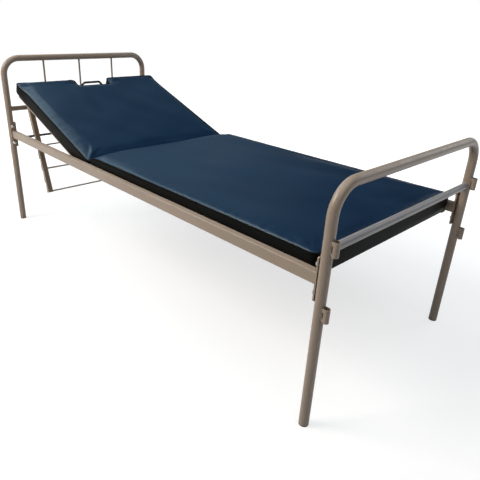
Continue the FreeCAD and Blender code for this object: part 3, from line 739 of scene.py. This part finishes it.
def bead(path, radius, reference, closed):
    """A fillet along a path: a round bar whose radius ripples by r (1 + 0.13 sin(2 pi s / 2.7 mm)), where s
    is the length along it. An open bead swells from nothing at both ends over 3 mm."""
    steps = np.linalg.norm(np.diff(path, axis=0), axis=1)
    along = np.concatenate([[0.0], np.cumsum(steps)])
    reach = radius * (1.0 + 0.13 * np.sin(2.0 * np.pi * along / 0.0027))
    if not closed:
        ends = np.minimum(along, along[-1] - along)
        reach *= np.sqrt(np.clip(ends / 0.003, 0.002, 1.0))
    return round_along(path, reach, np.asarray(reference, float), sides=6, closed=closed)


def weld_piece(name, beads, body, base=None):
    """Joins beads, each a grid of points with its closed flag, into one mesh and puts it on its body."""
    points, faces, start = [], [], 0
    for grid, closed in beads:
        flat = grid.reshape(-1, 3)
        quads = facing_out(flat - flat.mean(axis=0), ring_faces(len(grid), 6, closed_rows=closed))
        faces += (quads + start).tolist()
        if not closed:
            last = start + len(flat) - 6
            turned = quads[0][1] == 1
            first_cap = list(range(start, start + 6))
            last_cap = list(range(last, last + 6))
            faces += [first_cap[::-1], last_cap] if turned else [first_cap, last_cap[::-1]]
        points.append(flat)
        start += len(flat)
    welds = new_piece(name, np.concatenate(points), faces)
    if base:
        welds.data.transform(base)
    welds.data.materials.append(beige_enamel)
    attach(welds, body)


def saddle(centre, tube, main, axis, toward):
    """Where a round bar meets a tube: the circle r cos t, r sin t in the two directions across the bar, and
    its distance from the tube's axis, sqrt(R^2 - d^2), with d the offset across the tube."""
    turn = np.linspace(0.0, 2.0 * np.pi, int(2.0 * np.pi * tube / 0.0007), endpoint=False)
    across = [k for k in range(3) if k != axis]
    offset = across[0] if toward == across[1] else across[1]
    path = np.empty((len(turn), 3))
    path[:, offset] = centre[offset] + tube * np.cos(turn)
    path[:, toward] = centre[toward] + tube * np.sin(turn)
    return path, np.sqrt(np.maximum(main ** 2 - (tube * np.cos(turn)) ** 2, 0.0))


leg_x, leg_y = 0.440, 1.055
bow_radius, crossbar_radius, rod_radius = 0.016, 0.0125, 0.005
x_way, y_way, z_way = np.eye(3)
frame_beads = []
for side in (-1.0, 1.0):
    for y, z in ((leg_y, 0.642), (-leg_y, 0.598)):
        path, reach = saddle((0.0, y, z), crossbar_radius + 0.0002, bow_radius + 0.0002, 0, 2)
        path[:, 0] = side * (leg_x - reach)
        frame_beads.append((bead(path, 0.0017, x_way, True), True))
for x in (-0.216, 0.0, 0.216):
    for z, main, up in ((0.642, crossbar_radius, 1.0), (0.903, bow_radius, -1.0)):
        path, reach = saddle((x, leg_y, z), rod_radius + 0.0001, main + 0.0001, 2, 0)
        path[:, 2] = z + up * reach
        frame_beads.append((bead(path, 0.0012, z_way, True), True))
lower_socket, upper_socket = 0.408, 0.609
for x in (-leg_x, leg_x):
    for y, z in ((-leg_y, upper_socket), (-leg_y, lower_socket), (leg_y, lower_socket)):
        for cheek in (-1.0, 1.0):
            line = np.zeros((46, 3))
            line[:, 0] = x + cheek * 0.0102
            line[:, 1] = y + np.sign(y) * 0.0126
            line[:, 2] = z + np.linspace(-0.0130, 0.0190, 46)
            frame_beads.append((bead(line, 0.0014, x_way, False), False))
weld_piece("end_frame_welds", frame_beads, "frame")

# Welds on the side frames: the rails all round into their end plates, the catch rod into both rails,
# stitches between rails and ledges, and the cross flats into the ledges.


def stitch(x, y, z, half, count):
    """A straight path along the bed, from half before y to half past it."""
    return np.stack([np.full(count, x), y + np.linspace(-half, half, count), np.full(count, z)], axis=1)


def hoop(x, y, z, radius, count=60):
    """A circle round a bar that runs across the bed: y + r cos t, z + r sin t."""
    turn = np.linspace(0.0, 2.0 * np.pi, count, endpoint=False)
    return np.stack([np.full(count, x), y + radius * np.cos(turn), z + radius * np.sin(turn)], axis=1)


rail_inner, rail_outer, rail_low, rail_high, rail_end = 0.4198, 0.4452, 0.4868, 0.5252, 1.0334
rail_corners = np.array([(rail_inner, rail_low), (rail_outer, rail_low), (rail_outer, rail_high),
                         (rail_inner, rail_high)])
rail_section = even_points(rounded_outline(rail_corners, np.full(4, 0.0028)), 170)
ledge_line, flat_line, flat_under = 0.4205, 0.3952, 0.4800
bar_reach = 0.0061
rail_beads = []
for side in (-1.0, 1.0):
    for end in (-1.0, 1.0):
        ends = np.full(170, end * rail_end)
        path = np.stack([side * rail_section[:, 0], ends, rail_section[:, 1]], axis=1)
        rail_beads.append((bead(path, 0.0015, y_way, True), True))
    rail_beads.append((bead(hoop(side * 0.4192, 0.905, 0.515, bar_reach), 0.0014, x_way, True), True))
    for y in np.linspace(-0.95, 0.17, 8):
        path = stitch(side * ledge_line, y, 0.4862, 0.015, 44)
        rail_beads.append((bead(path, 0.0016, z_way, False), False))
    for y in (-0.916, -0.3865, 0.143):
        path = stitch(side * flat_line, y, flat_under, 0.018, 52)
        rail_beads.append((bead(path, 0.0016, z_way, False), False))
weld_piece("rail_welds", rail_beads, "frame")

# Welds under the backrest: the cross flats into the side flats, the ladder's lugs and the handle's feet on
# the head flat. They are placed flat and then leant back with the backrest.
head_flat_y = 0.9735
back_beads = []
for side in (-1.0, 1.0):
    for y in (0.2950, 0.6378, head_flat_y):
        path = stitch(side * 0.3856, y, flat_under, 0.013, 38)
        back_beads.append((bead(path, 0.0015, z_way, False), False))
    for x in (0.3423, 0.3477):
        path = stitch(side * x, head_flat_y, 0.4798, 0.014, 40)
        back_beads.append((bead(path, 0.0014, z_way, False), False))
    foot_ring = hoop(0.4856, side * 0.072, head_flat_y, bar_reach)[:, [1, 2, 0]]
    back_beads.append((bead(foot_ring, 0.0013, z_way, True), True))
weld_piece("backrest_welds", back_beads, "backrest", lean)

# Welds on the ladder: each rung into both angles, and the angles on to the pivot rod.
rung_places = (0.8019, 0.2224), (0.83965, 0.3437), (0.87755, 0.4649)
ladder_beads = []
for side in (-1.0, 1.0):
    for y, z in rung_places:
        ladder_beads.append((bead(hoop(side * 0.3752, y, z, 0.0041, 44), 0.0012, x_way, True), True))
    ladder_beads.append((bead(hoop(side * 0.3788, 0.95275, 0.6960, bar_reach), 0.0013, x_way, True), True))
weld_piece("ladder_welds", ladder_beads, "ladder")

# The floor is pale paper under four soft lamps: the strongest high on the near side, and cool ones at the
# head, overhead and on the far side. Away from the bed the paper, and the room beyond it, show as white;
# near the bed it keeps the object's soft shadow.
paper, tree, shader = new_finish("studio_paper", Roughness=0.9, Specular_IOR_Level=0.1)
place = object_place(tree)
flat = put(tree, "ShaderNodeMapping", {"Vector": place, "Scale": (1.0, 0.7, 0.0)})
reach = put(tree, "ShaderNodeVectorMath", {0: flat.outputs["Vector"]}, operation="LENGTH")
far = ramp(tree, reach.outputs["Value"], 1.1, 2.4, 0.68, 1.0, "SMOOTHSTEP")
fibre = noise(tree, place, 30.0, detail=5.0)
paper_colour = blend_colours(tree, fibre, (0.42, 0.42, 0.42, 1.0), (0.38, 0.38, 0.38, 1.0))
tree.links.new(paper_colour, shader.inputs["Base Color"])
rays = put(tree, "ShaderNodeLightPath")
seen = maths(tree, "MAXIMUM", rays.outputs["Is Camera Ray"], rays.outputs["Is Glossy Ray"])
seen_all = maths(tree, "MAXIMUM", seen, rays.outputs["Is Transmission Ray"])
paper_glow = maths(tree, "MULTIPLY", seen_all, far)
glow = put(tree, "ShaderNodeEmission", {"Color": (1.0, 1.0, 1.0, 1.0), "Strength": paper_glow})
both = put(tree, "ShaderNodeAddShader", {0: shader.outputs["BSDF"], 1: glow.outputs["Emission"]})
tree.links.new(both.outputs["Shader"], tree.nodes["Material Output"].inputs["Surface"])

floor_corners = [(-12, -12, 0), (12, -12, 0), (12, 12, 0), (-12, 12, 0)]
studio_floor = new_piece("studio_floor", floor_corners, [[0, 1, 2, 3]])
studio_floor.data.materials.append(paper)


def soft_lamp(name, place, aim, wide, tall, power, tint):
    """A flat rectangular lamp at a place, turned to face a point."""
    data = bpy.data.lights.new(name, "AREA")
    data.shape = "RECTANGLE"
    data.size = wide
    data.size_y = tall
    data.energy = power
    data.color = tint
    lamp = bpy.data.objects.new(name, data)
    bpy.context.scene.collection.objects.link(lamp)
    lamp.location = place
    lamp.rotation_euler = (Vector(aim) - Vector(place)).to_track_quat("-Z", "Y").to_euler()


soft_lamp("high_near_side", (-3.1, 1.7, 3.5), (0.0, 0.0, 0.4), 2.0, 2.0, 185.0, (1.0, 0.95, 0.88))
soft_lamp("head_side", (-0.7, 3.4, 3.9), (0.0, 0.0, 0.5), 3.2, 2.4, 80.0, (0.76, 0.91, 1.0))
soft_lamp("overhead", (-0.7, -2.0, 3.8), (0.0, -0.2, 0.4), 3.2, 3.2, 54.0, (0.93, 0.97, 1.0))
soft_lamp("far_side", (3.6, -1.8, 2.4), (0.0, -0.6, 0.6), 2.4, 2.2, 36.0, (0.86, 0.92, 1.0))

room = bpy.data.worlds.new("room")
room.use_nodes = True
tree = room.node_tree
background = tree.nodes["Background"]
toward = object_place(tree)
headward = put(tree, "ShaderNodeVectorMath", {0: toward, 1: (0.42, 0.82, 0.38)}, operation="DOT_PRODUCT")
dim = ramp(tree, headward.outputs["Value"], 0.82, 1.0, 0.03, 0.45, "SMOOTHSTEP")
low = maths(tree, "LESS_THAN", height_part(tree, toward), 0.03)
rays = put(tree, "ShaderNodeLightPath")
mirrored = maths(tree, "MAXIMUM", rays.outputs["Is Glossy Ray"], rays.outputs["Is Transmission Ray"])
low_mirrored = maths(tree, "MULTIPLY", mirrored, low)
white = maths(tree, "MAXIMUM", rays.outputs["Is Camera Ray"], low_mirrored)
room_light = put(tree, "ShaderNodeMix", {0: white, 2: dim, 3: 1.0}, data_type="FLOAT")
tree.links.new(room_light.outputs[0], background.inputs["Strength"])
room_colour = blend_colours(tree, white, (0.55, 0.82, 1.0, 1.0), (1.0, 1.0, 1.0, 1.0))
tree.links.new(room_colour, background.inputs["Color"])
bpy.context.scene.world = room
